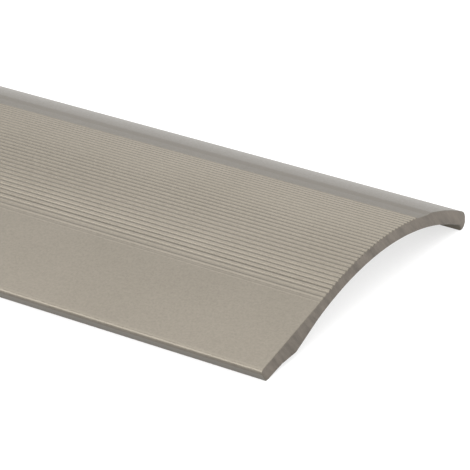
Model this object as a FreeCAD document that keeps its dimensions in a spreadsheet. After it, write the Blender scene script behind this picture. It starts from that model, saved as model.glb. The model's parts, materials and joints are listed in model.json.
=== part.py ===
"""Self-adhesive threshold strip: an extruded aluminium cover profile for the joint between two floors.

Frame: X along the strip, Y across it from the near (low) edge to the far (nose) edge, Z up.
The origin is the centre of the plane that the strip stands on. Millimetres and degrees.

The profile's section is a ribbed arch. Its near side runs tangentially into a straight wing with a
wedge-shaped foot, and its far side turns down into a rounded nose with a small lip. Two beads of
adhesive, one in the recess under the foot and one behind the lip, hold it to the floors. A release
liner covers each bead until the strip is laid.
"""
import FreeCAD, Part
import Sketcher
import math
import os
import re

# name: (value, meaning). Lengths in millimetres, angles in degrees.
DIMENSIONS = {
    "strip_length": (930.0, "overall length, to suit one doorway"),
    "overall_width": (41.0, "from the near edge to the outside of the nose"),
    "crest_height": (6.13, "top of the plain arch above the floor, without the ribs"),
    "wall": (1.4, "arch wall between top and underside, without the ribs"),
    "wing_slope": (14.0, "slope of the straight near wing"),
    "wing_edge_height": (1.52, "height of the wing's plane at the near edge"),
    "edge_radius": (0.45, "rounding of the near edge"),
    "edge_lean": (36.0, "how far the near edge's face leans out of the vertical"),
    "nose_height": (1.82, "top corner of the nose's upright outer face, before its rounding"),
    "nose_corner_radius": (1.2, "rounding of that corner"),
    "nose_foot_radius": (0.75, "rounding from the outer face to the lip's flat"),
    "nose_rise": (0.14, "how far the nose stands above the plain arch"),
    "nose_width": (8.5, "from the foot of that rise to the outside of the nose"),
    "nose_rise_run": (0.8, "width of the slope that makes the rise"),
    "lip_land": (0.25, "flat of the lip that stands on the floor"),
    "lip_side": (0.12, "height of the lip's inner side, below its fillet to the underside"),
    "toe_land": (0.5, "flat of the foot that stands on the floor"),
    "toe_step_run": (0.37, "width of the slope that starts the recess"),
    "toe_step_rise": (0.1, "rise of that slope"),
    "toe_ramp_run": (2.1, "width of the recess's sloping part"),
    "toe_ramp_rise": (0.42, "rise of the recess's sloping part"),
    "pad_run": (2.6, "width of the recess's nearly level part"),
    "pad_rise": (0.1, "rise of the recess's nearly level part"),
    "vault_lean": (20.5, "slope that the underside's arc reaches before it runs into the foot"),
    "foot_ramp_least": (2.0, "least width of the slope between that arc and the foot"),
    "rib_pitch": (0.63, "rib spacing, measured along the plain arch"),
    "rib_rise": (0.15, "height of a rib above the plain arch"),
    "rib_radius": (0.3, "roundness of a rib, a bar half sunk in the arch"),
    "smooth_band": (2.4, "arch left smooth between the ribs and the nose's rise"),
    "bead_clearance": (0.25, "from a bead's side to the metal beside it"),
    "near_bead_inset": (0.8, "from the start of the foot's recess to the near bead"),
    "bead_end_gap": (8.0, "from the end of the strip to the end of a bead"),
    "far_bead_width": (5.2, "width of the bead behind the lip"),
    "liner_sheet": (0.12, "thickness of a release liner"),
    "liner_overlap": (0.2, "how far a liner stands out past its bead's sides"),
    "liner_tab": (3.0, "how far a liner runs past its bead's ends"),
}

# Sizes that follow from the dimensions, each an expression on the ones before it. The arch is the
# circle that reaches the crest's height, runs tangentially into the wing's plane and, raised by
# the nose's rise, passes through the nose's top corner.
DERIVED = {
    "half_width": "overall_width / 2",
    "turn": "tan(wing_slope * 1deg / 2)",
    "wing_reach": "(crest_height - wing_edge_height) / tan(wing_slope * 1deg)",
    "far_reach": "overall_width - wing_reach",
    "nose_drop": "crest_height - nose_height",
    "half_sum": "turn * far_reach + nose_rise + nose_drop",
    "square_sum": "far_reach^2 - nose_rise^2 + nose_drop^2",
    "arch_radius": "(half_sum - sqrt(half_sum^2 - turn^2 * square_sum)) / turn^2",
    "arch_y": "arch_radius * turn + wing_reach - half_width",
    "arch_z": "crest_height - arch_radius",
    "underside_radius": "arch_radius - wall",
    "crown_radius": "arch_radius + nose_rise",
    "corner_y": "half_width - nose_corner_radius",
    "corner_z": "arch_z + sqrt((crown_radius - nose_corner_radius)^2 - (corner_y - arch_y)^2)",
    "rise_foot_y": "half_width - nose_width",
    "rise_top_y": "rise_foot_y + nose_rise_run",
    "rise_angle": "asin((rise_foot_y - arch_y) / arch_radius) / 1deg",
    "band_angle": "smooth_band / arch_radius * 1rad / 1deg",
    "first_rib_angle": "rise_angle - band_angle",
    "rib_step": "rib_pitch / arch_radius * 1rad / 1deg",
    # The ribs' crests sink into the wing where their circle crosses its plane.
    "sink_angle": "acos(arch_radius / (arch_radius + rib_rise)) / 1deg",
    "rib_steps": "floor((first_rib_angle + wing_slope + sink_angle) / rib_step)",
    "rib_count": "rib_steps + 1",
    "ribbed_angle": "rib_steps * rib_step",
    "rib_centre_radius": "arch_radius + rib_rise - rib_radius",
    "edge_angle": "90 + edge_lean",
    "edge_centre_y": "edge_radius - half_width",
    "edge_centre_z": "wing_edge_height + edge_radius * tan(wing_slope * 1deg)"
                     " - edge_radius / cos(wing_slope * 1deg)",
    "front_top_y": "edge_centre_y - edge_radius * cos(edge_lean * 1deg)",
    "front_top_z": "edge_centre_z - edge_radius * sin(edge_lean * 1deg)",
    "toe_y": "front_top_y + front_top_z * tan(edge_lean * 1deg)",
    "recess_y": "toe_y + toe_land + toe_step_run",
    "knee_y": "recess_y + toe_ramp_run",
    "foot_end_y": "knee_y + pad_run",
    "foot_ramp_top_y": "max(arch_y - underside_radius * sin(vault_lean * 1deg);"
                       " foot_end_y + foot_ramp_least)",
    "knee_z": "toe_step_rise + toe_ramp_rise",
    "near_bead_near_y": "recess_y + near_bead_inset",
    "near_bead_far_y": "foot_end_y - bead_clearance",
    "near_bead_near_z": "toe_step_rise + toe_ramp_rise * near_bead_inset / toe_ramp_run",
    "near_bead_far_z": "knee_z + pad_rise * (1 - bead_clearance / pad_run)",
    "lip_y": "half_width - nose_foot_radius - lip_land",
    "lip_offset": "lip_y - arch_y",
    "lip_depth": "lip_side - arch_z",
    "lip_fillet": "(underside_radius^2 - lip_offset^2 - lip_depth^2)"
                  " / (2 * (underside_radius - lip_offset))",
    "far_bead_far_y": "lip_y - lip_fillet - bead_clearance",
    "far_bead_near_y": "far_bead_far_y - far_bead_width",
    "bead_length": "strip_length - 2 * bead_end_gap",
    "liner_length": "bead_length + 2 * liner_tab",
}

doc = FreeCAD.newDocument("threshold_strip")


def make_sheet():
    """The driving dimensions, one named cell each."""
    sheet = doc.addObject("Spreadsheet::Sheet", "dimensions")
    for row, (name, (value, meaning)) in enumerate(DIMENSIONS.items(), start=1):
        sheet.set(f"A{row}", name)
        sheet.set(f"B{row}", str(value))
        sheet.set(f"C{row}", meaning)
        sheet.setAlias(f"B{row}", name)
    doc.recompute()
    return sheet


def make_derived():
    """The derived sizes, each bound to the sheet's cells."""
    derived = doc.addObject("App::VarSet", "derived")
    cell = re.compile(r"\b(" + "|".join(DIMENSIONS) + r")\b")
    for name, text in DERIVED.items():
        derived.addProperty("App::PropertyFloat", name)
        derived.setExpression(name, cell.sub(r"dimensions.\1", text))
        doc.recompute()
    return derived


sheet = make_sheet()
derived = make_derived()


def size(name):
    """A driving or derived size as a plain number."""
    return float(getattr(sheet if name in DIMENSIONS else derived, name))


def bound(name):
    """The expression that reads a driving or derived size."""
    return ("dimensions." if name in DIMENSIONS else "derived.") + name


def new_sketch(body, name):
    """A sketch across the strip: its first axis is Y, its second Z and its normal X."""
    sketch = body.newObject("Sketcher::SketchObject", name)
    plane = next(item for item in body.Origin.OriginFeatures if item.Role == "YZ_Plane")
    sketch.AttachmentSupport = [(plane, "")]
    sketch.MapMode = "FlatFace"
    return sketch


# A point of a sketch's element is (element, end), with these ends.
START, END, CENTRE = 1, 2, 3
ORIGIN = (-1, 1)
ACROSS_AXIS = -1
UP_AXIS = -2


def drive(sketch, kind, name, *where):
    """Adds a dimension to a sketch and binds it to the size of that name."""
    value = size(name)
    unit = ""
    if kind == "Angle":
        value = math.radians(value)
        unit = " * 1deg"
    index = sketch.addConstraint(Sketcher.Constraint(kind, *where, value))
    label = f"{name}_{index}"
    sketch.renameConstraint(index, label)
    sketch.setExpression("Constraints." + label, bound(name) + unit)


def tie(sketch, kind, *where):
    """Adds a constraint that has no size of its own."""
    sketch.addConstraint(Sketcher.Constraint(kind, *where))


def add_line(sketch, start, end):
    return sketch.addGeometry(Part.LineSegment(vector(*start), vector(*end)), False)


def add_arc(sketch, centre, radius, start_angle, end_angle):
    """An arc that runs anticlockwise between two angles in radians."""
    circle = Part.Circle(vector(*centre), FreeCAD.Vector(0, 0, 1), radius)
    return sketch.addGeometry(Part.ArcOfCircle(circle, start_angle, end_angle), False)


def vector(across, up):
    return FreeCAD.Vector(across, up, 0)


def on_circle(centre, radius, angle):
    return (centre[0] + radius * math.cos(angle), centre[1] + radius * math.sin(angle))


def height_on_circle(centre, radius, across):
    """Height of a circle's upper side at a place across the strip."""
    return centre[1] + math.sqrt(radius ** 2 - (across - centre[0]) ** 2)


def angle_to(centre, target):
    return math.atan2(target[1] - centre[1], target[0] - centre[0])


def draw_section(sketch):
    """The cover profile's outline without its ribs."""
    arch = (size("arch_y"), size("arch_z"))
    edge = (size("edge_centre_y"), size("edge_centre_z"))
    slope = math.radians(size("wing_slope"))
    front_angle = math.radians(size("edge_angle"))
    up = math.pi / 2
    # Top side, from the near edge to the nose's rise.
    toe = (size("toe_y"), 0.0)
    front_top = (size("front_top_y"), size("front_top_z"))
    wing_start = on_circle(edge, size("edge_radius"), slope + up)
    wing_end = on_circle(arch, size("arch_radius"), slope + up)
    rise_foot = (size("rise_foot_y"), height_on_circle(arch, size("arch_radius"), size("rise_foot_y")))
    rise_top = (size("rise_top_y"), height_on_circle(arch, size("crown_radius"), size("rise_top_y")))
    front = add_line(sketch, toe, front_top)
    round_edge = add_arc(sketch, edge, size("edge_radius"), slope + up, front_angle + up)
    wing = add_line(sketch, wing_start, wing_end)
    dome = add_arc(sketch, arch, size("arch_radius"), angle_to(arch, rise_foot), slope + up)
    rise = add_line(sketch, rise_foot, rise_top)
    # Nose and lip.
    corner = (size("corner_y"), size("corner_z"))
    corner_top = angle_to(arch, corner)
    nose_foot = (size("half_width") - size("nose_foot_radius"), size("nose_foot_radius"))
    lip_in = (size("lip_y"), 0.0)
    fillet = (lip_in[0] - size("lip_fillet"), size("lip_side"))
    crown = add_arc(sketch, arch, size("crown_radius"), corner_top, angle_to(arch, rise_top))
    round_corner = add_arc(sketch, corner, size("nose_corner_radius"), 0.0, corner_top)
    outer_face = add_line(sketch, (size("half_width"), corner[1]), (size("half_width"), nose_foot[1]))
    round_foot = add_arc(sketch, nose_foot, size("nose_foot_radius"), -up, 0.0)
    lip_flat = add_line(sketch, (nose_foot[0], 0.0), lip_in)
    lip_side = add_line(sketch, lip_in, (lip_in[0], fillet[1]))
    inner_round = add_arc(sketch, fillet, size("lip_fillet"), 0.0, angle_to(arch, fillet))
    # Underside, from the nose back to the toe.
    toe_in = (toe[0] + size("toe_land"), 0.0)
    step_top = (toe_in[0] + size("toe_step_run"), size("toe_step_rise"))
    ramp_top = (step_top[0] + size("toe_ramp_run"), step_top[1] + size("toe_ramp_rise"))
    pad_end = (ramp_top[0] + size("pad_run"), ramp_top[1] + size("pad_rise"))
    ramp_end = (size("foot_ramp_top_y"),
                height_on_circle(arch, size("underside_radius"), size("foot_ramp_top_y")))
    vault = add_arc(sketch, arch, size("underside_radius"), angle_to(arch, fillet),
                    angle_to(arch, ramp_end))
    foot_ramp = add_line(sketch, pad_end, ramp_end)
    pad = add_line(sketch, ramp_top, pad_end)
    toe_ramp = add_line(sketch, step_top, ramp_top)
    toe_step = add_line(sketch, toe_in, step_top)
    toe_flat = add_line(sketch, toe, toe_in)

    tie(sketch, "Coincident", toe_flat, START, front, START)
    tie(sketch, "Tangent", front, END, round_edge, END)
    tie(sketch, "Tangent", round_edge, START, wing, START)
    tie(sketch, "Tangent", wing, END, dome, END)
    tie(sketch, "Coincident", dome, START, rise, START)
    tie(sketch, "Coincident", rise, END, crown, END)
    tie(sketch, "Tangent", crown, START, round_corner, END)
    tie(sketch, "Tangent", round_corner, START, outer_face, START)
    tie(sketch, "Tangent", outer_face, END, round_foot, END)
    tie(sketch, "Tangent", round_foot, START, lip_flat, START)
    tie(sketch, "Coincident", lip_flat, END, lip_side, START)
    tie(sketch, "Tangent", lip_side, END, inner_round, START)
    tie(sketch, "Tangent", inner_round, END, vault, START)
    tie(sketch, "Coincident", vault, END, foot_ramp, END)
    tie(sketch, "Coincident", foot_ramp, START, pad, END)
    tie(sketch, "Coincident", pad, START, toe_ramp, END)
    tie(sketch, "Coincident", toe_ramp, START, toe_step, END)
    tie(sketch, "Coincident", toe_step, START, toe_flat, END)
    tie(sketch, "Coincident", crown, CENTRE, dome, CENTRE)
    tie(sketch, "Coincident", vault, CENTRE, dome, CENTRE)
    tie(sketch, "Vertical", outer_face)
    tie(sketch, "Vertical", lip_side)
    for standing, end in ((toe_flat, START), (toe_flat, END), (lip_flat, START), (lip_flat, END)):
        tie(sketch, "PointOnObject", standing, end, ACROSS_AXIS)

    drive(sketch, "DistanceX", "arch_y", *ORIGIN, dome, CENTRE)
    drive(sketch, "DistanceY", "arch_z", *ORIGIN, dome, CENTRE)
    drive(sketch, "Radius", "arch_radius", dome)
    drive(sketch, "Radius", "crown_radius", crown)
    drive(sketch, "Radius", "underside_radius", vault)
    drive(sketch, "Angle", "wing_slope", wing)
    drive(sketch, "Angle", "edge_angle", front)
    drive(sketch, "Radius", "edge_radius", round_edge)
    drive(sketch, "DistanceX", "edge_centre_y", *ORIGIN, round_edge, CENTRE)
    drive(sketch, "DistanceX", "rise_foot_y", *ORIGIN, rise, START)
    drive(sketch, "DistanceX", "rise_top_y", *ORIGIN, rise, END)
    drive(sketch, "DistanceX", "half_width", *ORIGIN, outer_face, START)
    drive(sketch, "Radius", "nose_corner_radius", round_corner)
    drive(sketch, "Radius", "nose_foot_radius", round_foot)
    drive(sketch, "DistanceX", "lip_land", lip_flat, END, lip_flat, START)
    drive(sketch, "DistanceY", "lip_side", lip_side, START, lip_side, END)
    drive(sketch, "DistanceX", "toe_land", toe_flat, START, toe_flat, END)
    for line, run, rising in ((toe_step, "toe_step_run", "toe_step_rise"),
                              (toe_ramp, "toe_ramp_run", "toe_ramp_rise"),
                              (pad, "pad_run", "pad_rise")):
        drive(sketch, "DistanceX", run, line, START, line, END)
        drive(sketch, "DistanceY", rising, line, START, line, END)
    drive(sketch, "DistanceX", "foot_ramp_top_y", *ORIGIN, foot_ramp, END)


def pad_along(body, sketch, name, length):
    """Pads a section both ways along the strip to the size of that name."""
    pad = body.newObject("PartDesign::Pad", name)
    pad.Profile = sketch
    pad.SideType = "Symmetric"
    pad.setExpression("Length", bound(length))
    body.Tip = pad
    doc.recompute()
    return pad


def make_cover_profile():
    """The aluminium extrusion: the plain section, then the ribs patterned round the arch's centre."""
    body = doc.addObject("PartDesign::Body", "cover_profile")
    section = new_sketch(body, "section")
    draw_section(section)
    pad_along(body, section, "extrusion", "strip_length")

    bar_section = new_sketch(body, "rib_section")
    bar_section.setExpression(".AttachmentOffset.Base.x", bound("arch_y"))
    bar_section.setExpression(".AttachmentOffset.Base.y", bound("arch_z"))
    bar_section.setExpression(".AttachmentOffset.Rotation.Angle", "-" + bound("first_rib_angle"))
    middle = vector(0, size("rib_centre_radius"))
    ring = Part.Circle(middle, FreeCAD.Vector(0, 0, 1), size("rib_radius"))
    bar = bar_section.addGeometry(ring, False)
    drive(bar_section, "Radius", "rib_radius", bar)
    drive(bar_section, "DistanceY", "rib_centre_radius", *ORIGIN, bar, CENTRE)
    tie(bar_section, "PointOnObject", bar, CENTRE, UP_AXIS)
    rib = pad_along(body, bar_section, "first_rib", "strip_length")

    ribs = body.newObject("PartDesign::PolarPattern", "ribs")
    ribs.Originals = [rib]
    ribs.Axis = (bar_section, ["N_Axis"])
    ribs.Mode = "Extent"
    ribs.setExpression("Angle", bound("ribbed_angle"))
    ribs.setExpression("Occurrences", bound("rib_count"))
    body.Tip = ribs
    doc.recompute()
    return body


def make_near_bead():
    """The bead in the foot's recess: level on its liner, and up to the recess's two slopes."""
    body = doc.addObject("PartDesign::Body", "near_adhesive_bead")
    sketch = new_sketch(body, "near_bead_section")
    low, knee_z = size("liner_sheet"), size("knee_z")
    near, knee, far = size("near_bead_near_y"), size("knee_y"), size("near_bead_far_y")
    near_top = (near, size("near_bead_near_z"))
    far_top = (far, size("near_bead_far_z"))
    base = add_line(sketch, (near, low), (far, low))
    far_side = add_line(sketch, (far, low), far_top)
    level_top = add_line(sketch, far_top, (knee, knee_z))
    sloping_top = add_line(sketch, (knee, knee_z), near_top)
    near_side = add_line(sketch, near_top, (near, low))
    join_round(sketch, (base, far_side, level_top, sloping_top, near_side))
    tie(sketch, "Horizontal", base)
    tie(sketch, "Vertical", far_side)
    tie(sketch, "Vertical", near_side)
    place(sketch, (base, START), "near_bead_near_y", "liner_sheet")
    place(sketch, (level_top, START), "near_bead_far_y", "near_bead_far_z")
    place(sketch, (sloping_top, START), "knee_y", "knee_z")
    drive(sketch, "DistanceY", "near_bead_near_z", *ORIGIN, sloping_top, END)
    pad_along(body, sketch, "near_bead_extrusion", "bead_length")
    return body


def make_far_bead():
    """The bead behind the lip: level on its liner, and up to the arch's underside."""
    body = doc.addObject("PartDesign::Body", "far_adhesive_bead")
    sketch = new_sketch(body, "far_bead_section")
    arch, radius = (size("arch_y"), size("arch_z")), size("underside_radius")
    low, near, far = size("liner_sheet"), size("far_bead_near_y"), size("far_bead_far_y")
    near_top = (near, height_on_circle(arch, radius, near))
    far_top = (far, height_on_circle(arch, radius, far))
    base = add_line(sketch, (near, low), (far, low))
    far_side = add_line(sketch, (far, low), far_top)
    top = add_arc(sketch, arch, radius, angle_to(arch, far_top), angle_to(arch, near_top))
    near_side = add_line(sketch, near_top, (near, low))
    join_round(sketch, (base, far_side, top, near_side))
    tie(sketch, "Horizontal", base)
    tie(sketch, "Vertical", far_side)
    tie(sketch, "Vertical", near_side)
    place(sketch, (base, START), "far_bead_near_y", "liner_sheet")
    drive(sketch, "DistanceX", "far_bead_far_y", *ORIGIN, base, END)
    place(sketch, (top, CENTRE), "arch_y", "arch_z")
    drive(sketch, "Radius", "underside_radius", top)
    pad_along(body, sketch, "far_bead_extrusion", "bead_length")
    return body


def join_round(sketch, elements):
    """Joins each element's end to the next one's start, and the last one's to the first's."""
    for element, following in zip(elements, elements[1:] + elements[:1]):
        tie(sketch, "Coincident", element, END, following, START)


def place(sketch, where, across, up):
    """Dimensions a point of a sketch both ways from the origin."""
    drive(sketch, "DistanceX", across, *ORIGIN, *where)
    drive(sketch, "DistanceY", up, *ORIGIN, *where)


def make_liner(node, near_y, far_y):
    """A release liner, lying flat on the floor's plane under the bead between those two sizes."""
    liner = doc.addObject("Part::Box", node)
    near, far = bound(near_y), bound(far_y)
    overlap, length = bound("liner_overlap"), bound("liner_length")
    liner.setExpression("Length", f"{length} * 1mm")
    liner.setExpression("Width", f"({far} - {near} + 2 * {overlap}) * 1mm")
    liner.setExpression("Height", bound("liner_sheet") + " * 1mm")
    liner.setExpression(".Placement.Base.x", f"-{length} / 2")
    liner.setExpression(".Placement.Base.y", f"{near} - {overlap}")
    doc.recompute()
    return liner


def write_parts(nodes):
    """Checks every object and writes one STEP file for each node."""
    doc.recompute()
    for item in doc.Objects:
        if "Invalid" in item.State or "Error" in item.State:
            raise RuntimeError(f"{item.Name} did not build: {item.State}")
    os.makedirs("parts", exist_ok=True)
    for node in nodes:
        shape = node.Shape
        if shape.isNull() or not shape.isValid() or len(shape.Solids) != 1:
            raise RuntimeError(f"{node.Label} is not one sound solid")
        shape.exportStep(f"parts/{node.Label}.step")


write_parts([
    make_cover_profile(),
    make_near_bead(),
    make_far_bead(),
    make_liner("near_release_liner", "near_bead_near_y", "near_bead_far_y"),
    make_liner("far_release_liner", "far_bead_near_y", "far_bead_far_y"),
])
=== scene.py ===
"""Threshold strip: how it looks. An anodised aluminium cover profile with adhesive beads and liners.

Lengths are in millimetres in the functions that draw sections, and in metres in Blender.
"""
import json
import math

import bmesh
import bpy
from mathutils import Matrix, Vector, noise


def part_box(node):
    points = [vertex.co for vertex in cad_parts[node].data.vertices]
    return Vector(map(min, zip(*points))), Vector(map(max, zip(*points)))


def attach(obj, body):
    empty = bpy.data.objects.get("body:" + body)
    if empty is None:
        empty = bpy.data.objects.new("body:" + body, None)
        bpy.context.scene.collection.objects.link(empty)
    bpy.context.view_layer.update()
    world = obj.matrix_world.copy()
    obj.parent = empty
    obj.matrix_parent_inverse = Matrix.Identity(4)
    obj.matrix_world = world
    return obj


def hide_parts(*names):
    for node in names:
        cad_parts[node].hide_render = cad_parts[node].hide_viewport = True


MM = 0.001

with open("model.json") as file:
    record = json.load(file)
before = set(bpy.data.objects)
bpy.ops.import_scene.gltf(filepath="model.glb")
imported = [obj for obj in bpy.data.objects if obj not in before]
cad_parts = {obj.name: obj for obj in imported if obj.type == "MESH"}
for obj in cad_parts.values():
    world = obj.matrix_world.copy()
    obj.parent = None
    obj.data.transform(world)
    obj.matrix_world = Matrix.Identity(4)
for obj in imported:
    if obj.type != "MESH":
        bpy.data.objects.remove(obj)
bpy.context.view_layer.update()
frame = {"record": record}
LOW, HIGH = (tuple(side / MM for side in corner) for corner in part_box("cover_profile"))

# The cover profile's section. It runs from the near edge to the nose, across the strip.
LENGTH = HIGH[0] - LOW[0]
WIDTH = HIGH[1] - LOW[1]
HALF_WIDTH = WIDTH / 2
RIB_RISE = 0.15
CREST = HIGH[2] - RIB_RISE
WALL = 1.4
WING_SLOPE = math.radians(14)
WING_EDGE = 1.52
EDGE_RADIUS = 0.45
EDGE_LEAN = math.radians(36)
NOSE_HEIGHT = 1.82
NOSE_CORNER_RADIUS = 1.2
NOSE_FOOT_RADIUS = 0.75
NOSE_RISE = 0.14
NOSE_WIDTH = 8.5
RISE_RUN = 0.8
LIP_LAND = 0.25
LIP_SIDE = 0.12
TOE_LAND = 0.5
TOE_STEP = (0.37, 0.1)
TOE_RAMP = (2.1, 0.42)
PAD = (2.6, 0.1)
VAULT_LEAN = math.radians(20.5)
RIB_PITCH = 0.63
RIB_RADIUS = 0.3
SMOOTH_BAND = 2.4
END_BREAK = 0.05

# How finely the cover is drawn: steps round each small rounding, along the nose's crown, along the
# arch's underside, across the smooth band and across each rib, and bays along the strip. Points
# closer together than the last value, in millimetres, become one.
ROUNDING_STEPS = 12
CROWN_STEPS = 20
VAULT_STEPS = 60
BAND_STEPS = 10
STEPS_PER_RIB = 16
BAYS = 12
CLOSEST_POINTS = 0.002

# The beads and liners: how far apart their sections lie, and how slowly and how far their sides
# wander.
STATION_STEP = 9.0
SWAY_LENGTH = 40.0
SWAY = 0.05
SLIT_SWAY = 0.02

# The beads: the share of its width that a bead keeps at its very end, how far the sides bulge, the
# seeds of their wander, and how finely the ends, the sides and the pressed top are drawn.
END_WIDTH = 0.2
NEAR_BULGE = 0.10
FAR_BULGE = 0.35
NEAR_BEAD_SEED = 3.0
FAR_BEAD_SEED = 7.0
BEAD_END_STEPS = 8
BEAD_SIDE_STEPS = 8
BEAD_TOP_STEPS = 12

# The liners: the length of a pull tab and how finely it is drawn, how far the tabs curl up, and the
# seeds of their edges' wander.
TAB_LENGTH = 3.0
TAB_STEPS = 6
NEAR_CURL = 0.05
FAR_CURL = 0.6
NEAR_LINER_SEED = 11.0
FAR_LINER_SEED = 17.0

# Edges that turn by more than these angles, in degrees, are shaded as sharp.
COVER_SHARPEST = 30
BEAD_SHARPEST = 40
LINER_SHARPEST = 40

# The middle part of a noise texture's range, over which its colours are spread.
NOISE_SPAN = (0.3, 0.7)

# How far the saw marks on the cut end slant.
SAW_SLANT = math.radians(42)

# Brightness of the white studio at its horizon and overhead, and the sine of the elevation from
# which it is as bright as overhead.
HORIZON_LEVEL = 0.6
SKY_LEVEL = 1.9
SKY_START = 0.42

# The floor is a lit table: its reach and its gap under the strip in metres, how much light it gives
# off, and how much of the light that falls on it it returns.
FLOOR_REACH = 40.0
FLOOR_GAP = 0.00002
FLOOR_GLOW = 0.68
FLOOR_ALBEDO = 0.33

# Soft panels: name, place from the strip's right end and width and height in metres, and watts.
PANELS = (
    ("overhead", (-0.3, -0.2, 1.6), (2.4, 1.8), 24),
    ("front_left", (-0.9, -1.4, 0.55), (1.0, 0.7), 14),
)

# The camera stands off the strip's right end, on the near side. It looks at a point that lies in
# from that end, across from the near edge and above the floor.
CAMERA_AZIMUTH = math.radians(32.8)
CAMERA_ELEVATION = math.radians(26.57)
CAMERA_DISTANCE = 286.4
CAMERA_LENS = 224.4
AIM = (HIGH[0] - 6.05, LOW[1] + 4.5, 12.75)


def solve_arch():
    """(centre's place across, centre's height, radius) of the arch's top side.

    It reaches the crest and runs tangentially into the wing's plane. Raised by the nose's rise, it
    passes through the nose's top corner.
    """
    turn = math.tan(WING_SLOPE / 2)
    wing_reach = (CREST - WING_EDGE) / math.tan(WING_SLOPE)
    far_reach = WIDTH - wing_reach
    drop = CREST - NOSE_HEIGHT
    half_sum = turn * far_reach + NOSE_RISE + drop
    square_sum = far_reach ** 2 - NOSE_RISE ** 2 + drop ** 2
    radius = (half_sum - math.sqrt(half_sum ** 2 - turn ** 2 * square_sum)) / turn ** 2
    return radius * turn + wing_reach - HALF_WIDTH, CREST - radius, radius


ARCH_Y, ARCH_Z, ARCH_RADIUS = solve_arch()
UNDERSIDE_RADIUS = ARCH_RADIUS - WALL
CROWN_RADIUS = ARCH_RADIUS + NOSE_RISE


def arc(centre, radius, start, end, steps):
    """Points on a circle from one angle to another, both ends included."""
    angles = (start + (end - start) * i / steps for i in range(steps + 1))
    return [(centre[0] + radius * math.cos(a), centre[1] + radius * math.sin(a)) for a in angles]


def from_arch(radius, lean):
    """A point at a distance from the arch's centre, leaning from upright towards the nose."""
    return (ARCH_Y + radius * math.sin(lean), ARCH_Z + radius * math.cos(lean))


def lean_at(across, radius):
    return math.asin((across - ARCH_Y) / radius)


def rib_leans():
    """Each rib's place round the arch, from the smooth band to where the ribs sink into the wing."""
    first = lean_at(HALF_WIDTH - NOSE_WIDTH, ARCH_RADIUS) - SMOOTH_BAND / ARCH_RADIUS
    sink = math.acos(ARCH_RADIUS / (ARCH_RADIUS + RIB_RISE))
    step = RIB_PITCH / ARCH_RADIUS
    count = int((first + WING_SLOPE + sink) / step) + 1
    return [first - step * i for i in range(count)]


def top_radius(lean, ribs):
    """Distance from the arch's centre to the top side: plain arch, rib or wing, whichever is highest."""
    radius = ARCH_RADIUS
    centre = ARCH_RADIUS + RIB_RISE - RIB_RADIUS
    nearest = min(ribs, key=lambda rib: abs(rib - lean))
    sideways = centre * math.sin(lean - nearest)
    if abs(sideways) < RIB_RADIUS:
        bar = centre * math.cos(lean - nearest) + math.sqrt(RIB_RADIUS ** 2 - sideways ** 2)
        radius = max(radius, bar)
    if lean < -WING_SLOPE:
        radius = max(radius, ARCH_RADIUS / math.cos(lean + WING_SLOPE))
    return radius


def top_side():
    """The ribbed arch, from the nose's rise to the start of the plain wing."""
    ribs = rib_leans()
    step = RIB_PITCH / ARCH_RADIUS
    start = lean_at(HALF_WIDTH - NOSE_WIDTH, ARCH_RADIUS)
    band_end = ribs[0] + step
    outline = []
    for i in range(BAND_STEPS):
        outline.append(from_arch(ARCH_RADIUS, start + (band_end - start) * i / BAND_STEPS))
    for i in range(STEPS_PER_RIB * (len(ribs) + 1) + 1):
        lean = band_end - step * i / STEPS_PER_RIB
        outline.append(from_arch(top_radius(lean, ribs), lean))
    return outline


def near_rounding():
    """The near edge's rounding, from the wing over to the leaning front face."""
    edge_y = EDGE_RADIUS - HALF_WIDTH
    edge_z = WING_EDGE + EDGE_RADIUS * (math.tan(WING_SLOPE) - 1 / math.cos(WING_SLOPE))
    start, end = math.pi / 2 + WING_SLOPE, math.pi + EDGE_LEAN
    return arc((edge_y, edge_z), EDGE_RADIUS, start, end, ROUNDING_STEPS)


def toe_edge():
    """Where the front face meets the floor."""
    across, up = near_rounding()[-1]
    return across + up * math.tan(EDGE_LEAN)


def cover_section():
    """The cover profile's outline, anticlockwise from the toe when the nose is on the right."""
    toe = toe_edge()
    outline = [(toe, 0.0), (toe + TOE_LAND, 0.0)]
    for run, rise in (TOE_STEP, TOE_RAMP, PAD):
        outline.append((outline[-1][0] + run, outline[-1][1] + rise))
    outline += underside()
    outline += nose_side()
    return outline + top_side() + near_rounding()


def nose_side():
    """From the lip's flat up the nose's outer face and over its corner, then along the crown."""
    foot = (HALF_WIDTH - NOSE_FOOT_RADIUS, NOSE_FOOT_RADIUS)
    corner_y = HALF_WIDTH - NOSE_CORNER_RADIUS
    corner_reach = CROWN_RADIUS - NOSE_CORNER_RADIUS
    corner_lean = lean_at(corner_y, corner_reach)
    corner = from_arch(corner_reach, corner_lean)
    corner_top = math.pi / 2 - corner_lean
    rise_top = math.pi / 2 - lean_at(HALF_WIDTH - NOSE_WIDTH + RISE_RUN, CROWN_RADIUS)
    outline = arc(foot, NOSE_FOOT_RADIUS, -math.pi / 2, 0.0, ROUNDING_STEPS)
    outline += arc(corner, NOSE_CORNER_RADIUS, 0.0, corner_top, ROUNDING_STEPS)
    return outline + arc((ARCH_Y, ARCH_Z), CROWN_RADIUS, corner_top, rise_top, CROWN_STEPS)[1:]


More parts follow.
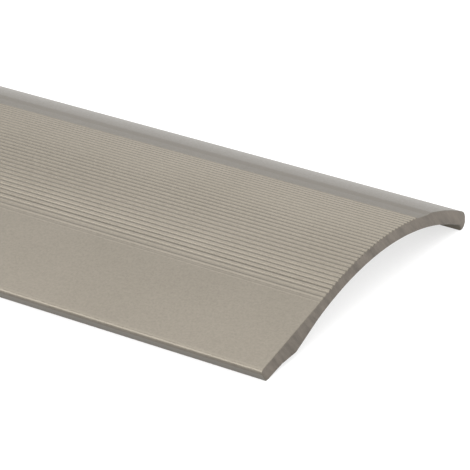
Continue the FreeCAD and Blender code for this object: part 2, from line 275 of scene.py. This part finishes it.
def underside():
    """From the foot's recess, up under the arch and round into the lip's flat."""
    lip_y = HALF_WIDTH - NOSE_FOOT_RADIUS - LIP_LAND
    offset, depth = lip_y - ARCH_Y, LIP_SIDE - ARCH_Z
    radius = (UNDERSIDE_RADIUS ** 2 - offset ** 2 - depth ** 2) / (2 * (UNDERSIDE_RADIUS - offset))
    lean = lean_at(lip_y - radius, UNDERSIDE_RADIUS - radius)
    outline = []
    for i in range(VAULT_STEPS + 1):
        tilt = -VAULT_LEAN + (lean + VAULT_LEAN) * i / VAULT_STEPS
        outline.append(from_arch(UNDERSIDE_RADIUS, tilt))
    inner_round = arc((lip_y - radius, LIP_SIDE), radius, math.pi / 2 - lean, 0.0, ROUNDING_STEPS)
    return outline + inner_round[1:] + [(lip_y, 0.0)]


def inset(outline, depth):
    """The outline moved inwards by a small depth. It runs anticlockwise."""
    moved = []
    for i, (y, z) in enumerate(outline):
        before, after = outline[i - 1], outline[(i + 1) % len(outline)]
        along = Vector((after[0] - before[0], after[1] - before[1])).normalized()
        moved.append((y - along.y * depth, z + along.x * depth))
    return moved


def without_repeats(outline):
    """The outline without points that lie almost on the one before."""
    kept = [outline[0]]
    for spot in outline[1:]:
        if math.dist(spot, kept[-1]) > CLOSEST_POINTS:
            kept.append(spot)
    return kept


def loft(name, stations):
    """A closed solid through sections: stations are (place along the strip, outline) pairs."""
    mesh = bpy.data.meshes.new(name)
    build = bmesh.new()
    rings = [[build.verts.new((x * MM, y * MM, z * MM)) for y, z in outline]
             for x, outline in stations]
    for ring, following in zip(rings, rings[1:]):
        for i in range(len(ring)):
            j = (i + 1) % len(ring)
            build.faces.new((ring[i], ring[j], following[j], following[i]))
    caps = [build.faces.new(rings[0]), build.faces.new(rings[-1])]
    for face in caps:
        face.material_index = 1
    bmesh.ops.recalc_face_normals(build, faces=build.faces[:])
    build.to_mesh(mesh)
    build.free()
    piece = bpy.data.objects.new(name, mesh)
    bpy.context.scene.collection.objects.link(piece)
    return piece


def smooth(piece, sharpest):
    """Smooth shading, with edges sharper than that angle kept crisp."""
    piece.data.shade_smooth()
    piece.data.set_sharp_from_angle(angle=math.radians(sharpest))


def coat(piece, sides, ends):
    """Gives a lofted piece the materials of its sides and of its two ends."""
    piece.data.materials.append(sides)
    piece.data.materials.append(ends)


def make_cover():
    outline = without_repeats(cover_section())
    broken = inset(outline, END_BREAK)
    stations = [(LOW[0], broken), (LOW[0] + END_BREAK, outline)]
    for i in range(1, BAYS):
        stations.append((LOW[0] + LENGTH * i / BAYS, outline))
    stations += [(HIGH[0] - END_BREAK, outline), (HIGH[0], broken)]
    cover = loft("aluminium_cover", stations)
    smooth(cover, COVER_SHARPEST)
    coat(cover, anodised_aluminium(), sawn_end())
    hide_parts("cover_profile")
    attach(cover, body_named("cover_profile"))


def body_named(node):
    """The CAD body that a node belongs to."""
    bodies = frame["record"].get("behaviour", {}).get("bodies", {})
    for body, nodes in bodies.items():
        if node in nodes:
            return body
    return "root"


def new_material(name):
    """(material, its shader, the link function and the node function)."""
    material = bpy.data.materials.new(name)
    material.use_nodes = True
    tree = material.node_tree
    return material, tree.nodes["Principled BSDF"], tree.links.new, tree.nodes.new


def noise_node(make, link, cells, detail, roughness, turn=0.0):
    """Noise fixed to the object: its cells' size along each axis in metres, turned about X."""
    where = make("ShaderNodeTexCoord")
    mapping = make("ShaderNodeMapping")
    mapping.vector_type = "TEXTURE"
    mapping.inputs["Scale"].default_value = cells
    mapping.inputs["Rotation"].default_value = (turn, 0.0, 0.0)
    texture = make("ShaderNodeTexNoise")
    texture.inputs["Scale"].default_value = 1.0
    texture.inputs["Detail"].default_value = detail
    texture.inputs["Roughness"].default_value = roughness
    link(where.outputs["Object"], mapping.inputs["Vector"])
    link(mapping.outputs["Vector"], texture.inputs["Vector"])
    return texture


def even(size):
    """Noise cells of one size all ways."""
    return (size, size, size)


def grey(level):
    return (level, level, level)


def multiply_node(make, link, first, second):
    """Two ramps' colours multiplied."""
    mix = make("ShaderNodeMix")
    mix.data_type = "RGBA"
    mix.blend_type = "MULTIPLY"
    mix.inputs["Factor"].default_value = 1.0
    link(first.outputs["Color"], mix.inputs["A"])
    link(second.outputs["Color"], mix.inputs["B"])
    return mix


def ramp_node(make, link, source, low, high):
    """Colours (or greys) spread from low to high over a noise texture's range."""
    ramp = make("ShaderNodeValToRGB")
    for stop, place, colour in zip(ramp.color_ramp.elements, NOISE_SPAN, (low, high)):
        stop.position = place
        stop.color = (*colour, 1.0)
    link(source.outputs["Fac"], ramp.inputs["Fac"])
    return ramp


def bump_node(make, link, source, distance):
    """Noise as relief, up to a distance in metres."""
    bump = make("ShaderNodeBump")
    bump.inputs["Distance"].default_value = distance
    bump.inputs["Strength"].default_value = 1.0
    link(source.outputs["Fac"], bump.inputs["Height"])
    return bump


def anodised_aluminium():
    """Satin champagne anodising: etched grain over faint lines left along the strip by the die."""
    material, shader, link, make = new_material("anodised_aluminium")
    shader.inputs["Metallic"].default_value = 1.0
    cloud = noise_node(make, link, even(0.017), detail=3, roughness=0.5)
    grain = noise_node(make, link, even(0.00026), detail=2, roughness=0.6)
    tint = ramp_node(make, link, cloud, (0.148, 0.133, 0.110), (0.160, 0.144, 0.120))
    speckle = ramp_node(make, link, grain, grey(0.82), grey(1.0))
    colour = multiply_node(make, link, tint, speckle)
    link(colour.outputs["Result"], shader.inputs["Base Color"])
    sheen = ramp_node(make, link, grain, grey(0.36), grey(0.46))
    link(sheen.outputs["Color"], shader.inputs["Roughness"])
    etched = bump_node(make, link, grain, distance=0.000006)
    lines = noise_node(make, link, (0.07, 0.0004, 0.0004), detail=4, roughness=0.7)
    drawn = bump_node(make, link, lines, distance=0.000004)
    link(etched.outputs["Normal"], drawn.inputs["Normal"])
    link(drawn.outputs["Normal"], shader.inputs["Normal"])
    return material


def sawn_end():
    """The cut end: the same metal, dulled, with saw marks that slant down towards the nose."""
    material, shader, link, make = new_material("sawn_end")
    shader.inputs["Metallic"].default_value = 1.0
    streaks = noise_node(make, link, (0.002, 0.0007, 0.004), detail=4, roughness=0.65, turn=SAW_SLANT)
    tint = ramp_node(make, link, streaks, (0.108, 0.094, 0.078), (0.200, 0.175, 0.148))
    link(tint.outputs["Color"], shader.inputs["Base Color"])
    sheen = ramp_node(make, link, streaks, grey(0.48), grey(0.60))
    link(sheen.outputs["Color"], shader.inputs["Roughness"])
    marks = noise_node(make, link, (0.002, 0.00016, 0.003), detail=3, roughness=0.6, turn=SAW_SLANT)
    bump = bump_node(make, link, marks, distance=0.00002)
    link(bump.outputs["Normal"], shader.inputs["Normal"])
    return material


def adhesive():
    """Off-white butyl: dull, with a pressed skin."""
    material, shader, link, make = new_material("butyl_adhesive")
    cloud = noise_node(make, link, even(0.0055), detail=4, roughness=0.6)
    tint = ramp_node(make, link, cloud, (0.60, 0.57, 0.49), (0.70, 0.67, 0.59))
    link(tint.outputs["Color"], shader.inputs["Base Color"])
    skin = noise_node(make, link, even(0.0007), detail=3, roughness=0.6)
    sheen = ramp_node(make, link, skin, grey(0.42), grey(0.66))
    link(sheen.outputs["Color"], shader.inputs["Roughness"])
    bump = bump_node(make, link, skin, distance=0.00004)
    link(bump.outputs["Normal"], shader.inputs["Normal"])
    return material


def release_paper():
    """Siliconised paper: a fine fibre grain under a slight sheen."""
    material, shader, link, make = new_material("release_paper")
    fibre = noise_node(make, link, (0.0022, 0.0011, 0.0011), detail=5, roughness=0.7)
    tint = ramp_node(make, link, fibre, (0.74, 0.68, 0.55), (0.82, 0.77, 0.65))
    link(tint.outputs["Color"], shader.inputs["Base Color"])
    sheen = ramp_node(make, link, fibre, grey(0.34), grey(0.48))
    link(sheen.outputs["Color"], shader.inputs["Roughness"])
    bump = bump_node(make, link, fibre, distance=0.000015)
    link(bump.outputs["Normal"], shader.inputs["Normal"])
    return material


def sway(along, seed):
    """A slow wander between -1 and 1 along the strip."""
    return noise.noise(Vector((along / SWAY_LENGTH, seed, 0.0)))


def node_box(node):
    """A CAD node's lowest and highest corners, in millimetres."""
    return [[side / MM for side in corner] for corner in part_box(node)]


def recess_height(across):
    """Height of the foot's recess above the floor: its sloping part, then its nearly level part."""
    start = toe_edge() + TOE_LAND + TOE_STEP[0]
    ramp = TOE_STEP[1] + TOE_RAMP[1] * (across - start) / TOE_RAMP[0]
    level = TOE_STEP[1] + TOE_RAMP[1] + PAD[1] * (across - start - TOE_RAMP[0]) / PAD[0]
    return min(ramp, level)


def vault_height(across):
    """Height of the arch's underside above the floor."""
    return ARCH_Z + math.sqrt(UNDERSIDE_RADIUS ** 2 - (across - ARCH_Y) ** 2)


def bead_side(side, bulge, turn, low, height):
    """A bead's rounded side, from its liner up to the metal. Turn is 1 towards the nose, else -1."""
    outline = []
    for i in range(BEAD_SIDE_STEPS + 1):
        inwards = bulge * (1 - math.sin(math.pi * i / BEAD_SIDE_STEPS))
        outline.append((side - turn * inwards, low + height * i / BEAD_SIDE_STEPS))
    return outline


def bead_outline(near, far, low, ceiling, bulge):
    """A squeezed bead: flat on its liner, pressed up to the metal, its two sides rounded outwards."""
    near_top, far_top = near + bulge, far - bulge
    outline = bead_side(far, bulge, 1, low, ceiling(far_top) - low)
    for i in range(1, BEAD_TOP_STEPS):
        across = far_top + (near_top - far_top) * i / BEAD_TOP_STEPS
        outline.append((across, ceiling(across)))
    near_side = bead_side(near, bulge, -1, low, ceiling(near_top) - low)
    return outline + near_side[::-1]


def make_bead(name, node, ceiling, bulge, seed):
    """A bead of adhesive with slightly wandering sides and ends rounded by the nozzle."""
    low, high = node_box(node)
    full_half = (high[1] - low[1]) / 2
    middle = (low[1] + high[1]) / 2
    stations = []
    for place in bead_places(low[0], high[0], full_half):
        from_end = min(place - low[0], high[0] - place)
        reach = min(1.0, from_end / full_half)
        half = full_half * max(END_WIDTH, math.sqrt(1 - (1 - reach) ** 2))
        near = middle - half + SWAY * (1 + sway(place, seed))
        far = middle + half - SWAY * (1 + sway(place, seed + 1))
        outline = bead_outline(near, far, low[2], ceiling, bulge * half / full_half)
        stations.append((place, outline))
    bead = loft(name, stations)
    smooth(bead, BEAD_SHARPEST)
    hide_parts(node)
    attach(bead, body_named(node))
    return bead


def bead_places(start, end, rounding):
    """Places along a bead: close together round its ends, then a step apart."""
    turn = []
    for i in range(BEAD_END_STEPS):
        turn.append(rounding * (1 - math.cos(math.pi / 2 * i / BEAD_END_STEPS)))
    straight = end - start - 2 * rounding
    count = round(straight / STATION_STEP)
    middle = [start + rounding + straight * i / count for i in range(count + 1)]
    return [start + step for step in turn] + middle + [end - step for step in reversed(turn)]


def make_beads():
    near = make_bead("near_adhesive", "near_adhesive_bead", recess_height, NEAR_BULGE, NEAR_BEAD_SEED)
    far = make_bead("far_adhesive", "far_adhesive_bead", vault_height, FAR_BULGE, FAR_BEAD_SEED)
    material = adhesive()
    for bead in (near, far):
        coat(bead, material, material)


def make_liner(name, node, curl, seed):
    """A strip of release paper with wandering slit edges. Its pull tabs curl up by a little."""
    low, high = node_box(node)
    sheet = high[2] - low[2]
    length = high[0] - low[0]
    count = round(length / STATION_STEP)
    tab = [TAB_LENGTH * i / TAB_STEPS for i in range(TAB_STEPS + 1)]
    middle = [low[0] + length * i / count for i in range(1, count)]
    places = [low[0] + step for step in tab] + middle + [high[0] - step for step in reversed(tab)]
    stations = []
    for place in places:
        from_end = min(place - low[0], high[0] - place)
        lift = curl * max(0.0, 1 - from_end / TAB_LENGTH) ** 2
        near = low[1] + SLIT_SWAY * (1 + sway(place, seed))
        far = high[1] - SLIT_SWAY * (1 + sway(place, seed + 1))
        base = low[2] + lift
        top = base + sheet
        stations.append((place, [(near, base), (far, base), (far, top), (near, top)]))
    liner = loft(name, stations)
    smooth(liner, LINER_SHARPEST)
    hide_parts(node)
    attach(liner, body_named(node))
    return liner


def make_liners():
    near = make_liner("near_liner_paper", "near_release_liner", NEAR_CURL, NEAR_LINER_SEED)
    far = make_liner("far_liner_paper", "far_release_liner", FAR_CURL, FAR_LINER_SEED)
    material = release_paper()
    for liner in (near, far):
        coat(liner, material, material)


def make_floor():
    """A wide pale table just under the strip. It is clear from below, so the underside can be seen."""
    build = bmesh.new()
    bmesh.ops.create_grid(build, x_segments=1, y_segments=1, size=FLOOR_REACH)
    mesh = bpy.data.meshes.new("floor")
    build.to_mesh(mesh)
    build.free()
    floor = bpy.data.objects.new("floor", mesh)
    floor.location.z = -FLOOR_GAP
    bpy.context.scene.collection.objects.link(floor)
    material, shader, link, make = new_material("floor")
    shader.inputs["Base Color"].default_value = (FLOOR_ALBEDO, FLOOR_ALBEDO, FLOOR_ALBEDO, 1.0)
    shader.inputs["Roughness"].default_value = 0.9
    shader.inputs["Emission Color"].default_value = (1.0, 1.0, 1.0, 1.0)
    shader.inputs["Emission Strength"].default_value = FLOOR_GLOW
    clear = make("ShaderNodeBsdfTransparent")
    side = make("ShaderNodeNewGeometry")
    mix = make("ShaderNodeMixShader")
    link(side.outputs["Backfacing"], mix.inputs["Fac"])
    link(shader.outputs["BSDF"], mix.inputs[1])
    link(clear.outputs["BSDF"], mix.inputs[2])
    link(mix.outputs["Shader"], material.node_tree.nodes["Material Output"].inputs["Surface"])
    mesh.materials.append(material)


def make_world():
    """A white studio that is brightest overhead and dimmer towards the horizon, above and below."""
    world = bpy.data.worlds.new("studio")
    bpy.context.scene.world = world
    world.use_nodes = True
    make, link = world.node_tree.nodes.new, world.node_tree.links.new
    where = make("ShaderNodeTexCoord")
    split = make("ShaderNodeSeparateXYZ")
    level = make("ShaderNodeMapRange")
    level.interpolation_type = "SMOOTHSTEP"
    level.inputs["From Max"].default_value = SKY_START
    level.inputs["To Min"].default_value = HORIZON_LEVEL
    level.inputs["To Max"].default_value = SKY_LEVEL
    link(where.outputs["Generated"], split.inputs["Vector"])
    background = world.node_tree.nodes["Background"]
    background.inputs["Color"].default_value = (1.0, 1.0, 1.0, 1.0)
    steepness = make("ShaderNodeMath")
    steepness.operation = "ABSOLUTE"
    link(split.outputs["Z"], steepness.inputs[0])
    link(steepness.outputs["Value"], level.inputs["Value"])
    link(level.outputs["Result"], background.inputs["Strength"])


def pointed(place, back):
    """Where a light or camera stands, with its back turned in the given direction."""
    return Matrix.Translation(place) @ back.to_track_quat("Z", "Y").to_matrix().to_4x4()


def make_panel(name, place, target, width, height, power):
    """A soft rectangular light that points at a target."""
    data = bpy.data.lights.new(name, "AREA")
    data.shape = "RECTANGLE"
    data.size, data.size_y = width, height
    data.energy = power
    panel = bpy.data.objects.new(name, data)
    bpy.context.scene.collection.objects.link(panel)
    panel.matrix_world = pointed(place, place - target)


def make_lights():
    end = Vector((HIGH[0] * MM, 0.0, 0.0))
    for name, offset, (width, height), power in PANELS:
        make_panel(name, end + Vector(offset), end, width, height, power)


def make_camera():
    data = bpy.data.cameras.new("camera")
    data.lens = CAMERA_LENS
    data.clip_start = 0.01
    data.clip_end = 100.0
    camera = bpy.data.objects.new("camera", data)
    bpy.context.scene.collection.objects.link(camera)
    level = math.cos(CAMERA_ELEVATION)
    back = Vector((math.sin(CAMERA_AZIMUTH) * level, -math.cos(CAMERA_AZIMUTH) * level,
                   math.sin(CAMERA_ELEVATION)))
    place = (Vector(AIM) + back * CAMERA_DISTANCE) * MM
    camera.matrix_world = pointed(place, back)
    bpy.context.scene.camera = camera


make_cover()
make_beads()
make_liners()
make_floor()
make_world()
make_lights()
make_camera()
bpy.context.scene.view_settings.view_transform = "Standard"
